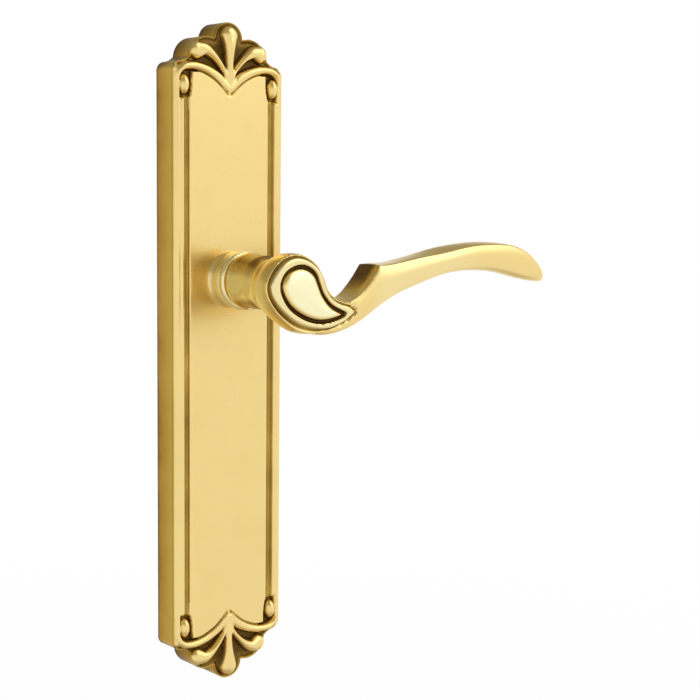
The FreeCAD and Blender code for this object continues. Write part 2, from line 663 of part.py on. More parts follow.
def pin_places():
    # Two stops beside the swing of the tab, and two pillars opposite them.
    spread = LEVER_TRAVEL / 2 + CAM_TAB_HALF + math.degrees((STOP_PIN_R + 0.3) / STOP_PIN_RING)
    stops = [on_ring(STOP_PIN_RING, side * spread) for side in (1, -1)]
    pillars = [on_ring(STOP_PIN_RING, 180 + side * 42) for side in (1, -1)]
    return stops, pillars


def shouldered_pins(places):
    # Each pin stands on the floor of the cassette and is riveted through its lid.
    pins = []
    lid_front = COVER_BACK + COVER_THICKNESS
    for x, z in places:
        pin = disc(STOP_PIN_R, FACE_BACK - HOUSING_FLOOR, lid_front, x, z)
        tenon = disc(RIVET_R, lid_front, COVER_BACK, x, z)
        head = disc(RIVET_R + 0.5, COVER_BACK, COVER_BACK - 0.35, x, z)
        pins.append(pin.fuse([tenon, head]))
    return Part.Compound(pins)


def housing_cover():
    # A pressed lid that sits in the mouth of the cassette.
    lid = ring(HOUSING_R, COVER_BORE_R, COVER_BACK + COVER_THICKNESS, COVER_BACK)
    stops, pillars = pin_places()
    for x, z in stops + pillars:
        lid = lid.cut(disc(RIVET_R + 0.02, COVER_BACK + 2, COVER_BACK - 1, x, z))
    return lid


def thrust_washer():
    start = TAB_BACK - DISH_HEIGHT
    return ring(CAM_HUB_R - 0.2, JOURNAL_R + 0.1, start, start - WASHER_THICKNESS)


def dished_washer():
    # A conical spring washer that takes up the end play of the lever.
    inner = JOURNAL_R + 0.15
    outer = CAM_HUB_R - 0.2
    steel = 0.35
    low = TAB_BACK - DISH_HEIGHT
    return turned([(inner, TAB_BACK), (outer, low + steel), (outer, low), (inner, TAB_BACK - steel)])


def retaining_ring():
    # An open ring that snaps into the groove of the journal.
    start = clip_depth()
    clip = ring(JOURNAL_R + 1.5, JOURNAL_R - CLIP_DEPTH + 0.05, start, start - CLIP_THICKNESS)
    mouth = Part.makeBox(4.0, 6, 12, at(-2.0, -3, -12))
    clip = clip.cut(mouth)
    for side in (1, -1):
        x, z = on_ring(JOURNAL_R + 1.8, 180 - side * 21)
        lug = ring(1.05, 0.5, start, start - CLIP_THICKNESS, x, z)
        clip = clip.cut(disc(0.9, start + 1, start - 2, x, z)).fuse(lug)
    return clip


def mounting_posts():
    posts = []
    for z in post_centres():
        post = disc(POST_R, 1.0, -POST_LENGTH, 0, z).fuse(disc(POST_R - 1.0, 8.0, 1.0, 0, z))
        posts.append(post.cut(disc(POST_THREAD_R, 4.0, -POST_LENGTH - 1, 0, z)))
    return Part.Compound(posts)


def lock_washers():
    rings = []
    seat = EAR_FRONT - EAR_THICKNESS
    for angle in screw_angles():
        x = CASSETTE_SCREW_RING * math.cos(math.radians(angle))
        z = CASSETTE_SCREW_RING * math.sin(math.radians(angle))
        washer = ring(CASSETTE_SCREW_HEAD_R, CASSETTE_SCREW_R + 0.1, seat, seat - LOCK_WASHER, x, z)
        split = Part.makeBox(0.5, LOCK_WASHER + 2, CASSETTE_SCREW_HEAD_R + 1, at(x - 0.25, -seat - 1, z))
        rings.append(washer.cut(split))
    return Part.Compound(rings)


def housing_screws():
    screws = []
    for angle in screw_angles():
        x = CASSETTE_SCREW_RING * math.cos(math.radians(angle))
        z = CASSETTE_SCREW_RING * math.sin(math.radians(angle))
        seat = EAR_FRONT - EAR_THICKNESS
        seat -= LOCK_WASHER
        head = disc(CASSETTE_SCREW_HEAD_R, seat, seat - 1.5, x, z)
        shank = disc(CASSETTE_SCREW_R, FACE_BACK - 1.0, seat, x, z)
        slot = Part.makeBox(3.6, 1.2, 0.8, at(x - 1.8, -seat + 0.7, z - 0.4))
        slot2 = Part.makeBox(0.8, 1.2, 3.6, at(x - 0.4, -seat + 0.7, z - 1.8))
        screws.append(head.fuse(shank).cut(slot).cut(slot2))
    return Part.Compound(screws)


export(escutcheon_plate(), "escutcheon_plate")
export(neck_collar(), "neck_collar")
export(bearing_bush(), "bearing_bush")
export(neck_washer(), "neck_washer")
export(lever_handle(), "lever_handle")
export(spindle(), "spindle")
export(grub_screw(), "grub_screw")
export(spring_housing(), "spring_housing")
export(housing_cover(), "housing_cover")
export(return_spring(), "return_spring")
export(drive_cam(), "drive_cam")
export(shouldered_pins(pin_places()[0]), "stop_pins")
export(shouldered_pins(pin_places()[1]), "cassette_pillars")
export(dished_washer(), "dished_washer")
export(thrust_washer(), "thrust_washer")
export(retaining_ring(), "retaining_ring")
export(mounting_posts(), "mounting_posts")
export(lock_washers(), "lock_washers")
export(housing_screws(), "housing_screws")
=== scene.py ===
# %% [markdown]
# # A brass door lever on a long plate
# The object is a door handle: a tall cast plate with a shell ornament at each end, a turned collar,
# and a cast lever whose head carries a drop in relief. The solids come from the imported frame. This
# script gives them their finish, and models the three pieces that show most again in finer form.

# %% The frame
import bpy
import math
import numpy as np
from mathutils import Vector, Matrix
from mathutils.geometry import delaunay_2d_cdt


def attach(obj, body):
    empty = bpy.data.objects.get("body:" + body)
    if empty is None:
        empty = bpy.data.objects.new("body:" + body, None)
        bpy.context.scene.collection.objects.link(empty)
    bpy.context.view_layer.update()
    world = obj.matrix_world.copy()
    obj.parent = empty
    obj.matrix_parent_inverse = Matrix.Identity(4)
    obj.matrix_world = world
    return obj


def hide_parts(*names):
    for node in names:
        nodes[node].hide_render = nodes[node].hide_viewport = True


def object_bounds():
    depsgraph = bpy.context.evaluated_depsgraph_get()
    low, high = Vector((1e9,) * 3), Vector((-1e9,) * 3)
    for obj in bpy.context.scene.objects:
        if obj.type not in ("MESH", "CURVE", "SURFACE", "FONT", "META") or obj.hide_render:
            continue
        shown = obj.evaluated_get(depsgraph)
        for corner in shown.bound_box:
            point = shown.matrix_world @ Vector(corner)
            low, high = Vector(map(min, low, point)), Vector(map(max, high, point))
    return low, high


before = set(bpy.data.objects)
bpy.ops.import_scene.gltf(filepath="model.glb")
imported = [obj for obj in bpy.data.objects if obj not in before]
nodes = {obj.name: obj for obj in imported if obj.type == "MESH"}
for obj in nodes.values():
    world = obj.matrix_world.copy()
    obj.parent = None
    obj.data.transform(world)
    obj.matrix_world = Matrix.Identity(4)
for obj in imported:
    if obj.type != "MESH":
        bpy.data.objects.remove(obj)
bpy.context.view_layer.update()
MM = 0.001
print("nodes", len(nodes))

# %% [markdown]
# ## The camera
# The photograph shows the plate from its left, about 40 degrees off its normal and 6 degrees from
# above, with little perspective. The camera's place comes from the plate's corners, its reeds and
# the lever's neck. A small vertical shift frames the object as the photograph does.

# %% Camera
YAW, PITCH, ROLL = (math.radians(angle) for angle in (40.498, 5.968, 0.627))
VIEWPOINT = Vector((-0.32157, -0.46037, 0.03632))
forward = Vector((math.sin(YAW) * math.cos(PITCH), math.cos(YAW) * math.cos(PITCH), -math.sin(PITCH)))
level_right = Vector((math.cos(YAW), -math.sin(YAW), 0.0))
level_up = level_right.cross(forward)
right = level_right * math.cos(ROLL) + level_up * math.sin(ROLL)
up = -level_right * math.sin(ROLL) + level_up * math.cos(ROLL)
camera_data = bpy.data.cameras.new("camera")
camera_data.lens = 73.33
camera_data.sensor_width = 36.0
camera_data.shift_y = -0.02116
camera_data.clip_start = 0.05
camera_data.clip_end = 20.0
camera = bpy.data.objects.new("camera", camera_data)
bpy.context.scene.collection.objects.link(camera)
turn = Matrix((right, up, -forward)).transposed()
camera.matrix_world = Matrix.Translation(VIEWPOINT) @ turn.to_4x4()
bpy.context.scene.camera = camera
print("camera distance", round(camera.location.length, 3))

# %% [markdown]
# ## Shader expressions
# Materials are easier to read as sums than as wires, so a small class wraps a socket: an
# expression on it adds the Math nodes that work it out. A second class holds the node tree.

# %% Shader helper


class Value:
    """A number that varies over a surface, written in expressions."""

    def __init__(self, shader, socket):
        self.shader = shader
        self.socket = socket

    def _math(self, operation, *values, clamp=False):
        settings = {"operation": operation, "use_clamp": clamp}
        return self.shader.node("ShaderNodeMath", settings, dict(enumerate(values)))[0]

    def __add__(self, other):
        return self._math("ADD", self, other)

    def __radd__(self, other):
        return self._math("ADD", other, self)

    def __sub__(self, other):
        return self._math("SUBTRACT", self, other)

    def __rsub__(self, other):
        return self._math("SUBTRACT", other, self)

    def __mul__(self, other):
        return self._math("MULTIPLY", self, other)

    def power(self, other):
        return self._math("POWER", self, other)

    def clamp(self):
        return self._math("ADD", self, 0.0, clamp=True)

    def step(self, low, high):
        """Rises smoothly from 0 at low to 1 at high."""
        return self.shader.node("ShaderNodeMapRange", {"interpolation_type": "SMOOTHSTEP"},
                                {0: self, 1: low, 2: high, 3: 0.0, 4: 1.0})[0]


class Shader:
    """The node tree of one material, with one method that adds any node."""

    def __init__(self, name):
        self.material = bpy.data.materials.new(name)
        self.material.use_nodes = True
        self.tree = self.material.node_tree
        self.surface = self.tree.nodes["Principled BSDF"]

    def node(self, kind, settings=None, inputs=None):
        made = self.tree.nodes.new(kind)
        for key, value in (settings or {}).items():
            setattr(made, key, value)
        for key, value in (inputs or {}).items():
            self.feed(made.inputs[key], value)
        return [Value(self, out) for out in made.outputs]

    def feed(self, socket, value):
        if isinstance(value, Value):
            self.tree.links.new(value.socket, socket)
        else:
            socket.default_value = value

    def set(self, **inputs):
        for key, value in inputs.items():
            self.feed(self.surface.inputs[key.replace("_", " ")], value)

    def place(self):
        """Object coordinates."""
        return self.node("ShaderNodeTexCoord")[3]

    def axes(self, vector):
        return self.node("ShaderNodeSeparateXYZ", inputs={0: vector})

    def stored(self, name):
        """A number kept on the mesh's points."""
        return self.node("ShaderNodeAttribute", {"attribute_name": name})[2]

    def noise(self, vector, scale, detail=3.0):
        return self.node("ShaderNodeTexNoise",
                         inputs={"Vector": vector, "Scale": scale, "Detail": detail})[0]

    def mix(self, factor, a, b):
        return self.node("ShaderNodeMix", {"data_type": "RGBA"}, {0: factor, 6: a, 7: b})[2]

    def bump(self, height, distance, strength):
        return self.node("ShaderNodeBump", inputs={"Strength": strength, "Distance": distance,
                                                   "Height": height})[0]


print("shader helper ready")

# %% [markdown]
# ## Lines and distances
# The shell at each end of the plate is five ribs that grow from a pointed stem, with a bead under
# each outer rib. A carver draws the middle line of each rib, gives it a width along its length, and
# rounds it over. The same is done here in millimetres: x is the distance from the plate's middle
# line and drop the distance from its end, as in the construction. Smooth lines through a few places
# come from a cubic through four neighbours, and heights come from distances to such lines.

# %% Lines and distances
HALF_H, HALF_W, MID = 128.2, 25.4, -30.5


def smooth_line(rows, parts=6):
    """A smooth line through rows of numbers, with so many parts between each two."""
    rows = np.array(rows, dtype=float)
    ends = np.vstack([2 * rows[0] - rows[1], rows, 2 * rows[-1] - rows[-2]])
    line = []
    for a, b, c, d in zip(ends[:-3], ends[1:-2], ends[2:-1], ends[3:]):
        for i in range(parts):
            t = i / parts
            line.append(0.5 * (2 * b + (c - a) * t + (2 * a - 5 * b + 4 * c - d) * t ** 2
                               + (3 * b - a - 3 * c + d) * t ** 3))
    line.append(rows[-1])
    return np.array(line)


def nearest(x, z, line):
    """Distance to a line of points, and the line's other numbers at the nearest place."""
    best = np.full(x.shape, 1e9)
    extra = np.zeros(x.shape + (line.shape[1] - 2,))
    for a, b in zip(line[:-1], line[1:]):
        dx, dz = b[0] - a[0], b[1] - a[1]
        length = max(dx * dx + dz * dz, 1e-12)
        share = np.clip(((x - a[0]) * dx + (z - a[1]) * dz) / length, 0.0, 1.0)
        far = np.hypot(x - a[0] - share * dx, z - a[1] - share * dz)
        closer = far < best
        best = np.where(closer, far, best)
        if line.shape[1] > 2:
            values = a[2:] + share[..., None] * (b[2:] - a[2:])
            extra = np.where(closer[..., None], values, extra)
    return best, extra


def distance(x, z, line):
    return nearest(x, z, line)[0]


def inside(x, z, line):
    """True where a place lies inside a closed line."""
    result = np.zeros(x.shape, dtype=bool)
    for a, b in zip(line, np.roll(line, -1, axis=0)):
        if a[1] != b[1]:
            crossing = (a[1] > z) != (b[1] > z)
            reach = a[0] + (z - a[1]) / (b[1] - a[1]) * (b[0] - a[0])
            result ^= crossing & (x < reach)
    return result


def ring_of(line):
    """A closed line with its first point again at its end."""
    return np.vstack([line, line[:1]])


def beside(line, amount, closed=True, clear=0.9):
    """Points at a distance on a line's inner side, without those that come back too near to it."""
    ahead = np.roll(line, -1, axis=0) - np.roll(line, 1, axis=0)
    if not closed:
        ahead[0], ahead[-1] = line[1] - line[0], line[-1] - line[-2]
    inward = np.column_stack([-ahead[:, 1], ahead[:, 0]]) / np.hypot(ahead[:, 0], ahead[:, 1])[:, None]
    moved = line + inward * amount
    if closed:
        track = ring_of(line)
    else:
        moved, track = moved[1:-1], line
    return moved[distance(moved[:, 0], moved[:, 1], track) > amount * clear]


def soft_step(value, low, high):
    """Rises smoothly from 0 at low to 1 at high."""
    t = np.clip((value - low) / (high - low), 0.0, 1.0)
    return t * t * (3 - 2 * t)


def blurred(field, reach):
    """A field averaged over a small round neighbourhood, as a worn casting is."""
    span = int(3 * reach) + 1
    weights = np.exp(-0.5 * (np.arange(-span, span + 1) / reach) ** 2)
    weights /= weights.sum()
    for axis in (0, 1):
        padded = np.pad(field, [(span, span) if i == axis else (0, 0) for i in (0, 1)], mode="edge")
        field = sum(w * np.roll(padded, -i, axis=axis)[tuple(slice(0, n) for n in field.shape)]
                    for i, w in enumerate(weights))
    return field


print("a line through 3 places has", len(smooth_line([(0, 21), (0, 12), (0, 2)])), "points")

# %% [markdown]
# ## The plate's outline
# Straight sides, a rounded shoulder, a cove, a side lobe and a crown: the same arcs as in the
# construction, walked in short steps so that the silhouette is smooth.

# %% Outline of one end
ORNAMENT = 34.0
SHOULDER, COVE, LOBE = (HALF_W, 19.8), (HALF_W - 2.8, 15.7), (HALF_W - 7.3, 13.6)
LINK, CROWN, CROWN_TURN = (9.2, 5.8), (6.5, 6.2), 0.6


def arc_points(a, b, c):
    """Points every 0.3 mm or so on the arc through three places, without the last."""
    ax, az, bx, bz, cx, cz = *a, *b, *c
    d = 2 * (ax * (bz - cz) + bx * (cz - az) + cx * (az - bz))
    aa, bb, cc = ax * ax + az * az, bx * bx + bz * bz, cx * cx + cz * cz
    ux = (aa * (bz - cz) + bb * (cz - az) + cc * (az - bz)) / d
    uz = (aa * (cx - bx) + bb * (ax - cx) + cc * (bx - ax)) / d
    radius = math.hypot(ax - ux, az - uz)
    start = math.atan2(az - uz, ax - ux)
    middle = (math.atan2(bz - uz, bx - ux) - start) % (2 * math.pi)
    sweep = (math.atan2(cz - uz, cx - ux) - start) % (2 * math.pi)
    if middle > sweep:
        sweep -= 2 * math.pi
    count = max(2, int(abs(sweep) * radius / 0.3))
    turns = [start + sweep * i / count for i in range(count)]
    return [(ux + radius * math.cos(a), uz + radius * math.sin(a)) for a in turns]


outline = [(HALF_W, ORNAMENT - 0.4 * i) for i in range(int((ORNAMENT - SHOULDER[1]) / 0.4))]
outline += arc_points(SHOULDER, (HALF_W - 0.7, 17.1), COVE)
outline += arc_points(COVE, (HALF_W - 5.5, 14.9), LOBE)
outline += arc_points(LOBE, (15.6, 8.3), LINK)
outline += [(LINK[0] - 0.3 * i, LINK[1] + 0.0444 * i) for i in range(9)]
crown = 0.5 * (CROWN[0] ** 2 + CROWN[1] ** 2) / CROWN[1]
crown_middle = (crown * math.sin(CROWN_TURN), crown - crown * math.cos(CROWN_TURN))
outline += arc_points(CROWN, crown_middle, (0.0, 0.0)) + [(0.0, 0.0)]
half_line = np.array(outline)
outline += [(-x, drop) for x, drop in reversed(outline[:-1])]
end_line = np.array([(x, HALF_H - drop) for x, drop in outline])
print("outline of one end", len(end_line), "points")

# %% [markdown]
# ## The relief as a height
# Extruded and bevelled ribs would leave hard edges where they meet, and the real plate is a casting
# whose ribs run into each other. So the relief is worked out as one height over the plate: each rib,
# bead, reed and the flat panel gives a height, and a soft union of them is taken and blurred a
# little. Each row of a rib is x, drop, width and depth in front of the door, and a name with IN is a
# distance in from the plate's side. The hollows are kept as a second field, because the dark patina
# lies in them.

# %% Heights
CELL = 0.2
GROUND, GROOVE, WALL, PANEL, SLOPE, REED, RIB = 10.2, 10.8, 11.1, 11.9, 12.0, 12.45, 12.9
CURL = HALF_W - 1.5
CROWN_RIB = [(0, 21.0, 2.9, 12.5), (0, 17.0, 3.3, 12.9), (0, 12.4, 4.1, 13.5),
             (0, 8.6, 5.7, 13.9), (0, 5.1, 7.6, 13.7)]
LOBE_RIB = [(1.6, 20.0, 2.0, 12.4), (3.2, 17.4, 2.3, 12.7), (6.0, 14.3, 2.8, 13.0),
            (8.6, 12.2, 3.8, 13.3), (11.3, 10.9, 5.1, 13.5), (14.5, 11.3, 6.8, 13.0)]
CURL_RIB = [(1.0, 25.0, 3.2, 12.4), (4.4, 21.6, 4.3, 12.6), (8.4, 19.2, 3.9, 12.8),
            (12.2, 17.8, 3.6, 13.0), (16.0, 17.2, 3.3, 13.1), (CURL - 4.2, 17.4, 3.1, 13.1),
            (CURL - 1.8, 18.6, 2.9, 12.9), (CURL - 0.6, 20.6, 2.4, 12.5), (CURL - 0.1, 23.0, 1.7, 11.9)]
STEM_RIB = [(0, 16.6, 3.6, 12.7), (0, 19.4, 5.8, 12.7), (0, 22.4, 6.0, 12.5),
            (0, 25.0, 4.2, 12.3), (0, 26.8, 2.0, 12.1), (0, 27.9, 0.8, 11.9)]
ARCH = smooth_line([(17.2, 19.2), (13.5, 19.3), (10.0, 20.5), (6.4, 22.4), (3.7, 24.6),
                    (1.7, 26.5), (0, 28.0)])
NECK = smooth_line([(18.5, 60.0), (18.5, 45.0), (18.5, 30.4), (18.0, 28.2), (17.5, 25.6),
                    (17.3, 22.6), (17.2, 19.2)])
PANEL_EDGE = np.vstack([NECK, ARCH[1:], [(-0.01, 60.0)]])
BEAD_IN, BEAD_DROP, BEAD_WIDE, BEAD_HIGH = 4.8, 24.2, 2.3, 3.9
REED_IN, REED_HALF, REED_END = 3.7, 1.25, 30.2
LIP = 0.95
UNION_POWER = 7

columns = np.arange(-HALF_W - 0.6, HALF_W + 0.61, CELL)
drops = np.arange(-0.6, ORNAMENT + 8.0, CELL)
across, drop = np.meshgrid(columns, drops)
side = np.abs(across)
from_edge = HALF_W - side


def rib_height(rows):
    far, values = nearest(side, drop, smooth_line(rows))
    rise = values[..., 1] - GROUND
    return rise * np.clip(1 - (far / (values[..., 0] / 2)) ** 2, 0, None) ** 0.4


heights = [rib_height(rows) for rows in (CROWN_RIB, LOBE_RIB, CURL_RIB, STEM_RIB)]
bead = 1 - ((side - HALF_W + BEAD_IN) / BEAD_WIDE) ** 2 - ((drop - BEAD_DROP) / BEAD_HIGH) ** 2
heights.append((RIB - GROUND + 0.4) * np.clip(bead, 0, None) ** 0.5)
panel_far = distance(side, drop, PANEL_EDGE[:-1])
signed = np.where(inside(side, drop, PANEL_EDGE), panel_far, -panel_far)
heights.append((PANEL - GROUND) * soft_step(signed, -0.25, 0.2))
slope = np.interp(from_edge, [0, 2.3, 2.7, 2.9], [WALL, SLOPE, SLOPE - 0.15, GROUND]) - GROUND
heights.append(slope * soft_step(drop, 16.2, 18.4))
reed_far = np.hypot(from_edge - REED_IN, np.clip(REED_END - drop, 0, None))
heights.append((REED - GROUND) * np.clip(1 - (reed_far / REED_HALF) ** 2, 0, None) ** 0.42)
channel = soft_step(from_edge, 1.9, 2.5) * (1 - soft_step(from_edge, 6.8, 7.2))
channel *= soft_step(drop, 28.4, 29.4)
heights.append((GROOVE - GROUND) * channel)
lip_far = distance(side, drop, half_line)
heights.append(LIP * (1 - soft_step(lip_far, 0.1, 1.7)) * (1 - soft_step(drop, 16.0, 18.0)))
union = sum(np.clip(h, 0, None) ** UNION_POWER for h in heights) ** (1 / UNION_POWER)
sunk = 0.35 * (1 - soft_step(union, 0.0, 0.8)) * (1 - soft_step(drop, 26, 30))
relief = blurred(GROUND + union - sunk, 0.9)
hollow = blurred(relief, 5.0) - relief
print("relief from", round(relief.min(), 2), "to", round(relief.max(), 2), "mm in front of the door")


def sample(field, x, z):
    """The field at places given in the plate's own millimetres from its middle."""
    u = np.clip((x - columns[0]) / CELL, 0, len(columns) - 1.001)
    v = np.clip((HALF_H - np.abs(z) - drops[0]) / CELL, 0, len(drops) - 1.001)
    i, j = u.astype(int), v.astype(int)
    fu, fv = u - i, v - j
    top = field[j, i] * (1 - fu) + field[j, i + 1] * fu
    low = field[j + 1, i] * (1 - fu) + field[j + 1, i + 1] * fu
    return top * (1 - fv) + low * fv


# %% [markdown]
# ## The carved front
# The front becomes a sheet: fine triangles over each ornament, long strips over the straight
# mouldings, and a plain panel with the collar's hole. A grid cut by the outline would have a ragged
# edge, so a triangulation that keeps the outline as its border is used. Three rows of points follow
# the outline closely and carry the worn edge. STRIPS are distances in from the plate's side, and
# MIDDLE is half the width of the plain part between the strips.

# %% Front sheet
EDGE_ROUND = 0.45
STEP = 0.3
MIDDLE, MIDDLE_STEP = 16.5, 1.5
STRIPS = (0, 0.08, 0.2, 0.35, 0.5, 0.9, 1.4, 1.9, 2.2, 2.35, 2.5, 2.65, 2.8, 2.95, 3.1, 3.3, 3.5, 3.7,
          3.9, 4.1, 4.25, 4.4, 4.55, 4.7, 4.85, 5.0, 5.15, 5.8, 6.3, 6.5, 6.65, 6.8, 6.95, 7.1, 7.25,
          7.4, 7.7)


def front_depth(points):
    x, z = points[:, 0], points[:, 1]
    far = HALF_W - np.abs(x)
    near_end = np.abs(z) > HALF_H - ORNAMENT - 1
    far[near_end] = distance(x[near_end], np.abs(z[near_end]), end_line)
    drop_off = np.clip(EDGE_ROUND - far, 0, EDGE_ROUND)
    lost = EDGE_ROUND - np.sqrt(np.clip(EDGE_ROUND ** 2 - drop_off ** 2, 0, None))
    return sample(relief, x, z) - lost


def grid_over(x_low, x_high, z_low, z_high):
    grid_x, grid_z = np.meshgrid(np.arange(x_low, x_high, STEP), np.arange(z_low, z_high, STEP))
    return np.column_stack([grid_x.ravel(), grid_z.ravel()])


def loop_edges(count, first=0):
    """Edges that join a number of points to a ring."""
    return [(first + i, first + (i + 1) % count) for i in range(count)]


def sheet(points, edges):
    """Points and triangles of the area that the edges enclose."""
    flat = [Vector((float(x), float(z))) for x, z in points]
    result = delaunay_2d_cdt(flat, edges, [], 1, 1e-5)
    return np.array([(v.x, v.y) for v in result[0]]), [tuple(f) for f in result[2]]


sides = [HALF_W - a for a in STRIPS]
row = np.array(sorted(sides + [-x for x in sides] + list(np.arange(-MIDDLE, MIDDLE + 0.1, MIDDLE_STEP))))
low_row = HALF_H - ORNAMENT
ring = np.vstack([end_line, [(x, low_row) for x in row[1:-1]]])
grid = grid_over(-HALF_W + 0.2, HALF_W, low_row + 0.3, HALF_H)
grid = grid[distance(grid[:, 0], grid[:, 1], end_line) > 0.5]
inner = np.vstack([beside(end_line, far, closed=False) for far in (0.1, 0.25, 0.42)] + [grid])
inner = inner[inside(inner[:, 0], inner[:, 1], ring)]
places, triangles = sheet(np.vstack([ring, inner]), loop_edges(len(ring)))
print("ornament of one end", len(places), "points,", len(triangles), "triangles")

# %% [markdown]
# ## From sheet to mesh
# The sheet of one end serves both, mirrored. The panel between them gets the round hole of the
# collar, and the strips join the ends along the mouldings. Some short functions make a mesh from
# places and faces, select parts of it, and turn its normals outwards.

# %% Front mesh
COLLAR_HOLE = 9.6
HOLE_SIDES = 96


def new_piece(name, places, edges, faces):
    mesh = bpy.data.meshes.new(name)
    mesh.from_pydata((np.array(places) * MM).tolist(), edges, faces)
    piece = bpy.data.objects.new(name, mesh)
    bpy.context.scene.collection.objects.link(piece)
    return piece


def activate(piece):
    bpy.ops.object.select_all(action="DESELECT")
    piece.select_set(True)
    bpy.context.view_layer.objects.active = piece


def numbers(piece, name):
    """The places ("co") or normals ("normal") of a piece's points, in rows."""
    flat = np.empty(len(piece.data.vertices) * 3)
    piece.data.vertices.foreach_get(name, flat)
    return flat.reshape(-1, 3)


def move_points(piece, places):
    piece.data.vertices.foreach_set("co", places.ravel())
    piece.data.update()


def pick(piece, kind, chosen=None):
    """Enters edit mode with the chosen vertices, edges or faces selected, or with all."""
    activate(piece)
    mesh = piece.data
    groups = {"VERT": mesh.vertices, "EDGE": mesh.edges, "FACE": mesh.polygons}
    for group in groups.values():
        group.foreach_set("select", np.zeros(len(group), dtype=bool))
    if chosen is None:
        chosen = np.ones(len(groups[kind]), dtype=bool)
    groups[kind].foreach_set("select", chosen)
    bpy.ops.object.mode_set(mode="EDIT")
    bpy.ops.mesh.select_mode(type=kind)


def leave():
    bpy.ops.object.mode_set(mode="OBJECT")


def leave_outward():
    """Turns all normals outwards and leaves edit mode."""
    bpy.ops.mesh.select_all(action="SELECT")
    bpy.ops.mesh.normals_make_consistent(inside=False)
    leave()


angles = np.arange(HOLE_SIDES) * 2 * math.pi / HOLE_SIDES
hole = np.column_stack([COLLAR_HOLE * np.cos(angles), COLLAR_HOLE * np.sin(angles) - MID])
middle_x = [x for x in row if abs(x) <= MIDDLE + 0.01]
panel_line = [(x, low_row) for x in middle_x] + [(x, -low_row) for x in reversed(middle_x)]
panel_edges = loop_edges(len(panel_line)) + loop_edges(HOLE_SIDES, len(panel_line))
panel_places, panel_faces = sheet(np.vstack([panel_line, hole]), panel_edges)
centres = [panel_places[list(f)].mean(axis=0) for f in panel_faces]
panel_faces = [f for f, c in zip(panel_faces, centres) if math.hypot(c[0], c[1] + MID) > COLLAR_HOLE]
outer = [x for x in row if abs(x) >= MIDDLE - 0.01]
strip_places = [(x, z) for x in outer for z in (low_row, -low_row)]
flat = [places, places * (1, -1), panel_places, strip_places]
other_end, panel, strips = (int(n) for n in np.cumsum([len(f) for f in flat])[:3])
faces = list(triangles)
faces += [tuple(other_end + i for i in reversed(triangle)) for triangle in triangles]
faces += [tuple(panel + i for i in face) for face in panel_faces]
for i in range(len(outer) - 1):
    if outer[i + 1] - outer[i] < MIDDLE:
        a = strips + 2 * i
        faces.append((a, a + 1, a + 3, a + 2))
flat = np.vstack(flat)
front = np.column_stack([flat[:, 0], -front_depth(flat), flat[:, 1] + MID])
plate = new_piece("plate_cast", front, [], faces)
pick(plate, "VERT")
bpy.ops.mesh.remove_doubles(threshold=0.00002)
leave_outward()
print("front sheet", len(plate.data.vertices), "points")

# %% [markdown]
# ## Walls and hollow back
# A cast plate is a shallow tray: its wall runs round the outline and its back is hollow, with bosses
# for the posts and the cassette screws. The wall is the sheet's border extruded and flattened in
# three steps, the last at the door. The hollow is taken over from the solid, whose shape is right
# there, and the rim between both is filled.

# %% Walls and back
COLLAR_SEAT = 8.7
WALL_STEPS = (9.6, 1.4, 0.0)


def border(piece):
    """Which edges have one face only, and the middle of each edge in millimetres."""
    mesh = piece.data
    uses = np.zeros(len(mesh.edges), dtype=int)
    loops = np.empty(len(mesh.loops), dtype=int)
    mesh.loops.foreach_get("edge_index", loops)
    np.add.at(uses, loops, 1)
    ends = np.empty(len(mesh.edges) * 2, dtype=int)
    mesh.edges.foreach_get("vertices", ends)
    return uses == 1, numbers(piece, "co")[ends.reshape(-1, 2)].mean(axis=1) / MM


def extrude_to(depths):
    """Extrudes the selected edges and flattens them at each depth in turn."""
    for depth in depths:
        bpy.ops.mesh.extrude_region_move()
        bpy.ops.transform.resize(value=(1, 0, 1), center_override=(0, -depth * MM, 0))


def own_copy(node, name):
    """A copy of a node with a mesh of its own, merged along the seams of its faces."""
    piece = nodes[node].copy()
    piece.data = piece.data.copy()
    piece.name = name
    bpy.context.scene.collection.objects.link(piece)
    pick(piece, "VERT")
    bpy.ops.mesh.remove_doubles(threshold=0.000005)
    bpy.ops.mesh.customdata_custom_splitnormals_clear()
    leave()
    return piece


def join(kept, other):
    activate(kept)
    other.select_set(True)
    bpy.ops.object.join()


def near_axis(middles, reach):
    return np.hypot(middles[:, 0], middles[:, 2]) < reach


single, middles = border(plate)
pick(plate, "EDGE", single & ~near_axis(middles, COLLAR_HOLE + 0.5))
extrude_to(WALL_STEPS)
leave()
single, middles = border(plate)
pick(plate, "EDGE", single & near_axis(middles, COLLAR_HOLE + 0.5))
extrude_to((COLLAR_SEAT,))
leave()

back = own_copy("escutcheon_plate", "plate_back")
depths = -numbers(back, "co")[:, 1] / MM
spans = [depths[list(face.vertices)] for face in back.data.polygons]
pick(back, "FACE", np.array([span.max() > 9.5 or span.max() < 0.01 for span in spans]))
bpy.ops.mesh.delete(type="FACE")
leave()
join(plate, back)
single, middles = border(plate)
pick(plate, "EDGE", single & (np.abs(middles[:, 1]) < 0.01))
bpy.ops.mesh.fill(use_beauty=True)
leave()
single, middles = border(plate)
at_seat = np.abs(middles[:, 1] + COLLAR_SEAT) < 0.05
pick(plate, "EDGE", single & at_seat & near_axis(middles, COLLAR_HOLE + 0.4))
print("edges to close at the hole", int(single.sum()))
bpy.ops.mesh.fill(use_beauty=True)
leave_outward()
single, middles = border(plate)
print("plate", len(plate.data.vertices), "points, open edges", int(single.sum()))

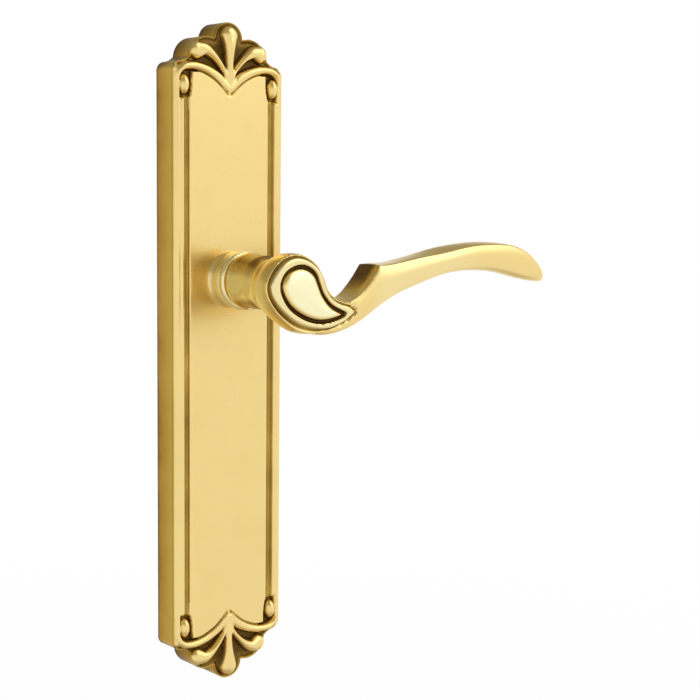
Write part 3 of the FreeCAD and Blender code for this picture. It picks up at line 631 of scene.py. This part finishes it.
# %% [markdown]
# ## Where the patina and painted shade lie
# Antiqued brass is dipped dark all over and then polished, so that the dark stays where the wheel
# can't reach. Each point of the plate keeps one number for it: the hollow field on the front, more
# in the floor of the shell and along its lip, in the channels beside the reeds and under the arch,
# and a dull inside. The wall is made darker towards the door and at the ends. The same number holds
# painted shade: the floor of the lower shell stays darker near the outline, and a thin dark line runs
# along the front edge of the straight sides. Points more than FRONT_FROM in front of the door belong
# to the front, and what lies less than TRAY_TO in front of it, away from the wall, is the inside.

# %% Patina of the plate
FRONT_FROM, TRAY_TO = 9.65, 9.5


# The default number holds the patina and the painted shade.
def store(piece, values, name="patina_and_shade"):
    layer = piece.data.attributes.new(name, "FLOAT", "POINT")
    layer.data.foreach_set("value", np.clip(values, 0, 1).astype(float))


def smooth(piece, degrees):
    activate(piece)
    bpy.ops.object.shade_smooth_by_angle(angle=math.radians(degrees))


co = numbers(plate, "co") / MM
x, depth, z = co[:, 0], -co[:, 1], co[:, 2] - MID
side_x, from_end, from_side = np.abs(x), HALF_H - np.abs(z), HALF_W - np.abs(x)
height = sample(relief, x, z)
near_edge = distance(x, np.abs(z), end_line)

dip = soft_step(sample(hollow, x, z), 0.04, 0.42) * (1 - 0.7 * soft_step(from_end, 30, 32))
floor_dark = (1 - soft_step(height, 10.2, 11.6)) * (1 - soft_step(from_end, 28, 30))
# Near the outline the shell's floor is lightened, less at the lower end, so the lower shell stays darker
# there as painted shade.
low_end_shade_share = np.where(z < 0, 0.9, 0.72)
floor_dark *= low_end_shade_share + (1 - low_end_shade_share) * soft_step(near_edge, 0.8, 4.0)
faint = 1 - 0.55 * (1 - soft_step(side_x, 2.0, 7.0)) * soft_step(from_end, 20, 24)
lip = 0.66 * (1 - soft_step(near_edge, 1.0, 3.0)) * (1 - soft_step(from_end, 15.5, 17.5))
lip *= (0.8 + 0.2 * soft_step(near_edge, 0.0, 0.8)) * (1 - soft_step(height, 11.0, 11.9))
channel_dark = 0.58 * soft_step(from_side, 4.1, 4.5) * (1 - soft_step(from_side, 6.75, 6.95))
channel_dark *= soft_step(from_end, 27.5, 28.5)
arch_far = distance(side_x, from_end, ARCH)
arch_dark = 0.82 * (1 - soft_step(arch_far, 0.15, 0.65)) * soft_step(side_x, 0.5, 5.0)
# A thin dark line along the front edge of the straight sides is painted shade.
edge_shade_line = 0.25 * (1 - soft_step(from_side, 0.1, 0.5)) * soft_step(from_end, 17, 20)
darkest = [np.maximum(dip * 0.62, floor_dark * 0.95) * faint, lip, channel_dark, arch_dark, edge_shade_line]
front_value = np.maximum.reduce(darkest)
wall_value = 0.02 + 0.6 * (1 - soft_step(depth, -0.5, 4.0)) + 0.35 * (1 - soft_step(from_end, 16, 19))
values = np.where(depth > FRONT_FROM, front_value, wall_value)
tray = (depth < TRAY_TO) & (side_x < HALF_W - 2.5) & (from_end > 20.3)
values = np.where(tray, 0.45, values)
store(plate, values)
smooth(plate, 38)
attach(plate, "plate")
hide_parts("escutcheon_plate")
print("patina on the plate, mean", round(float(np.clip(values, 0, 1).mean()), 3))

# %% [markdown]
# ## The turned collar
# The collar is turned brass: a flared foot, a small bead, a cove and a large bead, with the nylon
# bush in its bore. A lathe turns a profile round an axis, and Spin does the same to a drawn line.

# %% Collar
FOOT, FACE, BORE, RECESS = 11.9, 23.1, 8.2, 9.4


def moulding(base, rows):
    """A smooth stretch of profile from rows of radius and distance in front of a base."""
    return [tuple(p) for p in smooth_line([(radius, base + rise) for radius, rise in rows], 4)]


def spun(name, profile):
    """A closed ring from a closed profile of (radius, depth), turned round the spindle."""
    piece = new_piece(name, [(r, -d, 0) for r, d in profile], loop_edges(len(profile)), [])
    pick(piece, "VERT")
    bpy.ops.mesh.spin(steps=96, angle=2 * math.pi, center=(0, 0, 0), axis=(0, 1, 0), use_auto_merge=False)
    bpy.ops.mesh.select_all(action="SELECT")
    bpy.ops.mesh.remove_doubles(threshold=0.000001)
    leave_outward()
    return piece


profile = moulding(FOOT, [(11.0, 0.02), (11.0, 0.9), (10.45, 1.7), (9.85, 2.8), (9.7, 3.8), (9.9, 4.7)])
profile += moulding(FOOT, [(10.15, 4.9), (10.6, 5.2), (10.75, 5.85), (10.6, 6.5), (10.15, 6.8)])
profile += moulding(FOOT, [(9.9, 7.1), (9.75, 7.6), (9.85, 8.2), (10.3, 8.55)])
profile += moulding(FACE, [(10.85, -2.4), (11.2, -2.0), (11.3, -1.45), (11.15, -0.85), (10.7, -0.35),
                           (10.0, -0.1), (COLLAR_HOLE, 0.0)])
profile += [(RECESS, FACE), (RECESS, FACE - 1.0), (BORE, FACE - 1.0), (BORE, COLLAR_SEAT),
            (COLLAR_HOLE, COLLAR_SEAT), (COLLAR_HOLE, FOOT + 0.02)]
collar = spun("collar_turned", profile)
smooth(collar, 40)
co = numbers(collar, "co") / MM
radius, depth = np.hypot(co[:, 0], co[:, 2]), -co[:, 1]
grooves = [FOOT, FOOT + 4.85, FOOT + 6.95, FACE - 2.6]
store(collar, sum(0.32 * np.exp(-((depth - groove) / 0.45) ** 2) for groove in grooves) + 0.1)
# The collar's outside gets a paler colour as painted highlight, most on its two beads.
small_bead, large_bead = ((depth - FOOT - 5.9) / 0.7) ** 2, ((depth - FACE + 1.2) / 0.8) ** 2
bead_highlight = 0.25 + 0.6 * np.exp(-large_bead) + 0.3 * np.exp(-small_bead)
store(collar, bead_highlight * (radius > 9.3), "painted_highlight")
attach(collar, "plate")
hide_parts("neck_collar")
print("collar", len(collar.data.vertices), "points")

# %% [markdown]
# ## The cast lever
# The lever is one casting, ground and polished so that its creases stay but no edge is sharp. A
# remesh turns the solid's surface into even small quads, and a few rounds of smoothing wear them as
# a polishing wheel does. The place for the drop ornament is pressed flat first, because that
# relief is finer than the remesh and is made as a mesh of its own. Last, the arm's top edge is
# pressed down a little towards the back, where the wheel has worn it.

# %% Lever body
RIM = [(28.2, -10.6), (24.7, -8.3), (20.9, -7.1), (17.8, -5.6), (14.8, -2.9), (13.0, 1.0), (11.3, 4.3),
       (8.3, 7.6), (4.1, 9.9), (-0.6, 10.7), (-5.1, 9.7), (-9.1, 6.9), (-12.0, 3.0), (-12.9, -0.8),
       (-10.8, -5.8), (-4.9, -11.4), (2.8, -15.4), (12.7, -16.9), (20.7, -15.2), (25.6, -12.6)]
DROP = [(24.2, -11.0), (20.4, -9.7), (15.6, -7.2), (12.2, -3.4), (10.4, 0.4), (8.6, 4.1), (5.5, 6.6),
        (1.1, 7.7), (-3.9, 6.5), (-7.3, 3.6), (-8.5, -0.7), (-6.5, -5.6), (-2.9, -9.4), (2.8, -12.6),
        (8.7, -14.2), (14.6, -14.2), (20.4, -12.9)]
HEAD_FLOOR = 53.0
VOXEL, WEAR_ROUNDS = 0.45, 6


def closed_line(rows):
    return smooth_line(rows + rows[:1], 8)[:-1]


foot_line = closed_line(RIM)
foot_ring = ring_of(foot_line)
lever = own_copy("lever_handle", "lever_cast")
co = numbers(lever, "co")
x, z = co[:, 0] / MM, co[:, 2] / MM
head = inside(x, z, foot_line) | (distance(x, z, foot_ring) < 0.2)
co[head & (co[:, 1] < -HEAD_FLOOR * MM), 1] = -HEAD_FLOOR * MM
move_points(lever, co)
activate(lever)
remesh = lever.modifiers.new("even_quads", "REMESH")
remesh.mode = "VOXEL"
remesh.voxel_size = VOXEL * MM
remesh.use_smooth_shade = True
bpy.ops.object.modifier_apply(modifier=remesh.name)
wear = lever.modifiers.new("wear", "SMOOTH")
wear.factor = 0.5
wear.iterations = WEAR_ROUNDS
bpy.ops.object.modifier_apply(modifier=wear.name)
co = numbers(lever, "co")
x, depth = co[:, 0] / MM, -co[:, 1] / MM
faces_up = soft_step(numbers(lever, "normal")[:, 2], 0.1, 0.6)
arm_top = soft_step(x, 43, 50) * (1 - soft_step(x, 60, 78)) * faces_up
co[:, 2] += arm_top * (0.35 - 1.4 * np.clip((54 - depth) / 11, 0, 1)) * MM
move_points(lever, co)
print("lever body", len(lever.data.polygons), "faces")

# %% [markdown]
# ## The drop in relief
# The head carries a raised drop inside a round-topped rim, with a deep dark groove between. The
# sheet is triangulated inside the rim's line, and its height comes from the distance to the rim and
# to the groove's middle line: a rounded rim, a groove with steep sides, and a dome that falls
# towards the top.

# %% Drop ornament
RIM_FOOT, RIM_TOP, GROOVE_FLOOR, DOME_FOOT, DOME_TOP = 54.0, 55.2, 53.7, 54.7, 56.3
GROOVE_HALF, LINE_CLEAR, ROOT = 0.75, 0.92, 1.5
RIM_FROM_FOOT, DROP_FROM_LINE = 0.45, 0.75

rim_line = beside(foot_line, RIM_FROM_FOOT, clear=LINE_CLEAR)
drop_line = beside(closed_line(DROP), DROP_FROM_LINE, clear=LINE_CLEAR)
rim_ring, drop_ring = ring_of(rim_line), ring_of(drop_line)


def head_depth(x, z):
    to_rim, to_drop = distance(x, z, rim_ring), distance(x, z, drop_ring)
    round_top = np.sqrt(np.clip(1 - (1 - np.clip(to_rim / 1.1, 0, 1)) ** 2, 0, 1))
    rim = RIM_FOOT + (RIM_TOP - RIM_FOOT) * round_top
    swell = np.clip(to_drop - 0.5, 0, None)
    dome = DOME_FOOT + 1.15 * (1 - np.exp(-swell / 0.9)) + 0.45 * (1 - np.exp(-swell / 5)) - 0.045 * (z + 3)
    top = np.where(inside(x, z, drop_line), np.minimum(dome, DOME_TOP), rim)
    return GROOVE_FLOOR + (top - GROOVE_FLOOR) * soft_step(to_drop, GROOVE_HALF * 0.45, GROOVE_HALF * 1.35)


grid = grid_over(-13.5, 29, -18, 11.5)
grid = grid[distance(grid[:, 0], grid[:, 1], rim_ring) > 0.4]
inner = np.vstack([beside(rim_line, far) for far in (0.1, 0.25)] + [grid])
inner = inner[inside(inner[:, 0], inner[:, 1], rim_line)]
flat, triangles = sheet(np.vstack([rim_line, inner]), loop_edges(len(rim_line)))
x, z = flat[:, 0], flat[:, 1]
ornament = new_piece("drop_relief", np.column_stack([x, -head_depth(x, z), z]), [], triangles)
pick(ornament, "EDGE", border(ornament)[0])
extrude_to((HEAD_FLOOR - ROOT,))
bpy.ops.mesh.fill(use_beauty=True)
leave_outward()
smooth(ornament, 50)
co = numbers(ornament, "co") / MM
x, depth, z = co[:, 0], -co[:, 1], co[:, 2]
to_rim, to_drop = distance(x, z, rim_ring), distance(x, z, drop_ring)
groove_dark = 1.0 - soft_step(to_drop, GROOVE_HALF * 0.75, GROOVE_HALF * 1.25)
rim_dark = 0.6 * (1 - soft_step(to_rim, 0.05, 0.35))
low_dark = 0.9 * (depth < RIM_FOOT - 0.1)
store(ornament, np.maximum.reduce([groove_dark, rim_dark, low_dark]))
# The dome gets a paler colour as painted highlight, most in its middle, and the rim a little.
dome_highlight = np.where(inside(x, z, drop_line), soft_step(to_drop, 0.9, 2.6), 0.4)
store(ornament, dome_highlight * (depth > RIM_FOOT - 0.1), "painted_highlight")
print("drop relief", len(ornament.data.vertices), "points")

# %% [markdown]
# ## Patina, painted shade and painted highlight of the lever
# The dark patina stays in the line round the head's rim and at the neck's ends. A painted dark
# reflection lies on the shoulder's faces that turn left and up, where the arm leaves the head, and
# painted shade on the neck's top and underside. The arm's front faces and the neck's sides are paler
# as painted highlight.

# %% Lever finish
co, normals = numbers(lever, "co") / MM, numbers(lever, "normal")
x, depth, z = co[:, 0], -co[:, 1], co[:, 2]
rim_dark = 0.66 * (1 - soft_step(distance(x, z, foot_ring), 0.1, 0.55)) * (depth > 52.3)
# The shoulder's faces that turn left and up, where the arm leaves the head, get a painted dark reflection.
faces_left_and_up = soft_step(-0.85 * normals[:, 0] + 0.5 * normals[:, 2], 0.35, 0.85)
notch_reflection = 0.9 * faces_left_and_up * soft_step(x, 22, 30) * (1 - soft_step(x, 40, 42)) * soft_step(z, -8, 3)
notch_reflection *= 1 - 0.75 * soft_step(depth, 49.5, 53.5)
neck_patina_and_shade = 0.15 * (1 - soft_step(depth, 24.0, 25.2)) + 0.2 * np.exp(-((depth - 36) / 2.5) ** 2)
# The neck's top and underside get painted shade; the rest of this number is patina at the neck's ends.
shade = 0.6 * soft_step(normals[:, 2], 0.45, 0.8) + 0.55 * soft_step(-normals[:, 2], 0.35, 0.75)
neck_patina_and_shade += shade * soft_step(depth, 24.5, 27) * (1 - soft_step(depth, 37, 43))
store(lever, np.maximum.reduce([rim_dark, notch_reflection, neck_patina_and_shade]))
# The arm's faces that turn to the front and the neck's sides get a paler colour as painted highlight.
arm_highlight = 0.2 * soft_step(x, 34, 44) * (1 - soft_step(x, 70, 110)) * soft_step(-normals[:, 1], 0.3, 0.8)
neck_side = 1 - soft_step(np.abs(normals[:, 2] + 0.15), 0.3, 0.65)
neck_highlight = 0.85 * neck_side * soft_step(depth, 24.0, 25.5) * (1 - soft_step(depth, 50, 53)) * (x < 14)
store(lever, np.maximum(arm_highlight, neck_highlight), "painted_highlight")
join(lever, ornament)
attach(lever, "lever")
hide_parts("lever_handle")
print("lever", len(lever.data.vertices), "points")

# %% [markdown]
# ## Antiqued brass
# The castings are satin brass. Their colour goes from bright brass to dark brown with a number that
# holds patina and painted shade, blotched a little by noise, and a fine grain in the height breaks up
# the reflections. The dark is duller than the bright metal, and where a second number is high the
# metal is paler, as a painted highlight.

# %% Brass
BRASS = (0.90, 0.69, 0.285, 1.0)
BRASS_DEEP = (0.58, 0.38, 0.082, 1.0)
# The darkest colour serves for patina and for painted shade.
PATINA_AND_SHADE = (0.080, 0.040, 0.010, 1.0)
# A pale colour that stands in for a painted highlight.
PAINTED_HIGHLIGHT = (0.97, 0.92, 0.58, 1.0)


def brass(name, roughness, aged_and_shaded=True):
    shader = Shader(name)
    place = shader.place()
    cloud = shader.noise(place, 60.0, 4.0)
    fine = shader.noise(place, 1500.0, 2.0)
    body = shader.mix(((cloud - 0.5) * 0.3).clamp(), BRASS, BRASS_DEEP)
    rough = roughness + (cloud - 0.5) * 0.06
    if aged_and_shaded:
        # This number holds patina and painted shade.
        age_and_shade = shader.stored("patina_and_shade")
        mask = (age_and_shade + (cloud - 0.5) * age_and_shade * (1.0 - age_and_shade) * 2.0).clamp()
        warm = shader.mix((mask * 2.0).clamp(), body, BRASS_DEEP)
        # Where the second number is high, a pale colour is mixed in as painted highlight.
        highlit = shader.mix(shader.stored("painted_highlight"), warm, PAINTED_HIGHLIGHT)
        body = shader.mix((mask * 1.6 - 0.6).clamp(), highlit, PATINA_AND_SHADE)
        rough = rough + mask * 0.2
    shader.set(Base_Color=body, Roughness=rough, Metallic=1.0, Normal=shader.bump(fine, 0.00001, 0.25))
    return shader.material


plain_brass = brass("brass_satin", 0.24, aged_and_shaded=False)
plate_brass = brass("brass_plate", 0.28)
lever_brass = brass("brass_lever", 0.26)
print("brass made")

# %% [markdown]
# ## Hidden metals and nylon
# The works behind the plate are zinc plated steel, spring steel, a black screw, and a nylon bush and
# washer. The three nodes that finer pieces replace get brass too, though they don't show.

# %% Other materials


def grained(name, colour, roughness, metallic=1.0):
    shader = Shader(name)
    grain = shader.noise(shader.place(), 600.0, 4.0)
    darker = tuple(c * 0.7 for c in colour) + (1.0,)
    tone = shader.mix((grain * 0.4).clamp(), colour + (1.0,), darker)
    shader.set(Base_Color=tone, Roughness=roughness + (grain - 0.5) * 0.15, Metallic=metallic,
               Normal=shader.bump(grain, 0.00002, 0.3))
    return shader.material


zinc = grained("zinc_plated", (0.62, 0.62, 0.60), 0.34)
spring_steel = grained("spring_wire", (0.34, 0.34, 0.36), 0.3)
black_steel = grained("black_oxide", (0.04, 0.04, 0.045), 0.45)
nylon = grained("nylon", (0.80, 0.79, 0.74), 0.5, 0.0)

finishes = (
    (plate_brass, ["escutcheon_plate"]),
    (plain_brass, ["neck_collar", "lever_handle", "mounting_posts"]),
    (zinc, ["spindle", "spring_housing", "housing_cover", "drive_cam", "stop_pins", "cassette_pillars",
            "thrust_washer", "housing_screws"]),
    (spring_steel, ["return_spring", "dished_washer", "retaining_ring", "lock_washers"]),
    (black_steel, ["grub_screw"]),
    (nylon, ["bearing_bush", "neck_washer"]),
)
dressed = [(nodes[name], material) for material, names in finishes for name in names]
dressed += [(plate, plate_brass), (collar, lever_brass), (lever, lever_brass)]
for piece, material in dressed:
    piece.data.materials.clear()
    piece.data.materials.append(material)
print("pieces and nodes with a finish", len(dressed))

# %% [markdown]
# ## Floor, light and background
# A pale floor lies under the part, and a white world lights it and stands behind it. What the
# camera sees of the floor glows almost white and quite white farther out, so that the floor runs
# into the background and still takes the part's faint shadow.

# %% Floor
WHITE = (1.0, 1.0, 1.0, 1.0)
FLOOR_SIZE, FLOOR_GAP = 6.0, 0.14
GLOW_NEAR = 0.88

low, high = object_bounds()
bpy.ops.object.select_all(action="DESELECT")
bpy.ops.mesh.primitive_plane_add(size=FLOOR_SIZE, location=(0, 0, low.z - FLOOR_GAP))
floor = bpy.context.object
floor.name = "floor"
floor.visible_glossy = False
paper = Shader("floor_paper")
place = paper.place()
path = paper.node("ShaderNodeLightPath")
seen = (path[0] + path[3] + path[6]).clamp()
grain = paper.noise(place, 40.0)
floor_x, floor_y = paper.axes(place)[:2]
away = (floor_x * floor_x + floor_y * floor_y).power(0.5)
glow = paper.node("ShaderNodeEmission", inputs={0: WHITE, 1: 1.0})[0]
paper.set(Base_Color=(0.9, 0.9, 0.9, 1.0), Roughness=0.8 + (grain - 0.5) * 0.1)
plain = Value(paper, paper.surface.outputs[0])
share = seen * (GLOW_NEAR + away.step(0.3, 1.1) * (1.0 - GLOW_NEAR))
blend = paper.node("ShaderNodeMixShader", inputs={0: share, 1: plain, 2: glow})[0]
output = [n for n in paper.tree.nodes if n.type == "OUTPUT_MATERIAL"][0]
paper.tree.links.new(blend.socket, output.inputs[0])
floor.data.materials.append(paper.material)

world = bpy.data.worlds.new("studio")
bpy.context.scene.world = world
world.use_nodes = True
world.node_tree.nodes["Background"].inputs[0].default_value = WHITE
bpy.context.scene.view_settings.view_transform = "Standard"
print("floor", round(floor.location.z, 3))

# %% [markdown]
# ## The tent
# Brass shows what stands round it, so a photographer hangs a tent round it: white at the front and
# right, brightest high at the front right, wood brown behind on the left, and dull overhead and
# below. The tent here is a large ball of that kind, which only reflections see, so the background
# stays white in any view.

# %% Tent
TENT_RADIUS = 2.5
CLOTH = (0.98, 0.98, 0.98, 1.0)
WOOD = (0.56, 0.45, 0.20, 1.0)
CEILING = (0.31, 0.29, 0.20, 1.0)
GROUND_TONE = (0.36, 0.31, 0.20, 1.0)
WINDOW = (1.8, 1.78, 1.75, 1.0)

bpy.ops.mesh.primitive_uv_sphere_add(segments=48, ring_count=24, radius=TENT_RADIUS, location=(0, 0, 0))
tent = bpy.context.object
tent.name = "tent"
bpy.ops.object.shade_smooth()
tent.visible_camera = False
tent.visible_diffuse = False
tent.visible_transmission = False
tent.visible_volume_scatter = False
tent.visible_shadow = False
cloth = Shader("tent_cloth")
direction = cloth.node("ShaderNodeVectorMath", {"operation": "NORMALIZE"}, {0: cloth.place()})[0]
east, north, above = cloth.axes(direction)
behind_left = (1.0 - east.step(-0.6, 0.5)) * north.step(-0.35, 0.3)
high_front_right = (east * 0.56 + north * -0.56 + above * 0.61).step(0.83, 0.96)
colour = cloth.mix(behind_left, CLOTH, WOOD)
colour = cloth.mix(above.step(0.22, 0.5) * 0.9, colour, CEILING)
colour = cloth.mix((0.0 - above).step(0.5, 0.9) * 0.7, colour, GROUND_TONE)
colour = cloth.mix(high_front_right, colour, WINDOW)
cloth.set(Base_Color=(0.0, 0.0, 0.0, 1.0), Emission_Color=colour, Emission_Strength=1.0, Roughness=1.0)
tent.data.materials.append(cloth.material)
print("tent radius", TENT_RADIUS)
